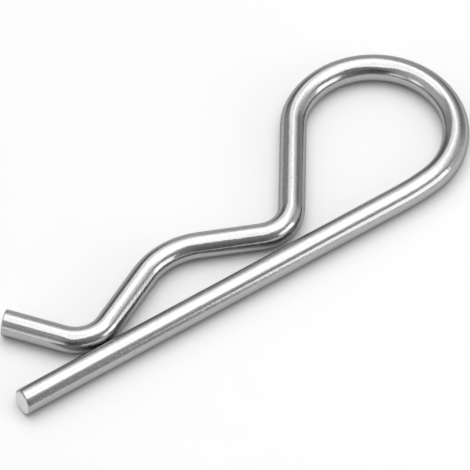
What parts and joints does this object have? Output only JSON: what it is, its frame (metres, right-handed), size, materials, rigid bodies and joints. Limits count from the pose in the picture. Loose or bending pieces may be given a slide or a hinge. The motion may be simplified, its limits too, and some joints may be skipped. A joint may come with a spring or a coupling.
{
  "type": "hitch clip pin",
  "caption": "R-shaped spring clip of round steel wire: a straight leg for a cross hole and a wavy leg that grips the outside of the shaft.",
  "frame": {"origin": "on the axis of the straight leg, where the axis of the shaft that the clip locks crosses it; this is also mid-thickness of the clip", "axes": "+X along the straight leg from its tip to the head, +Y from the straight leg to the wavy leg, +Z along the shaft and up off the surface that the clip lies on"},
  "size_m": [0.0855, 0.0288, 0.004],
  "materials": {
    "bright_wire": "bright zinc plating on drawn spring wire, polished, with faint drawing lines along the wire"
  },
  "bodies": {
    "root": {"wire_clip": "bright_wire"}
  },
  "joints": []
}
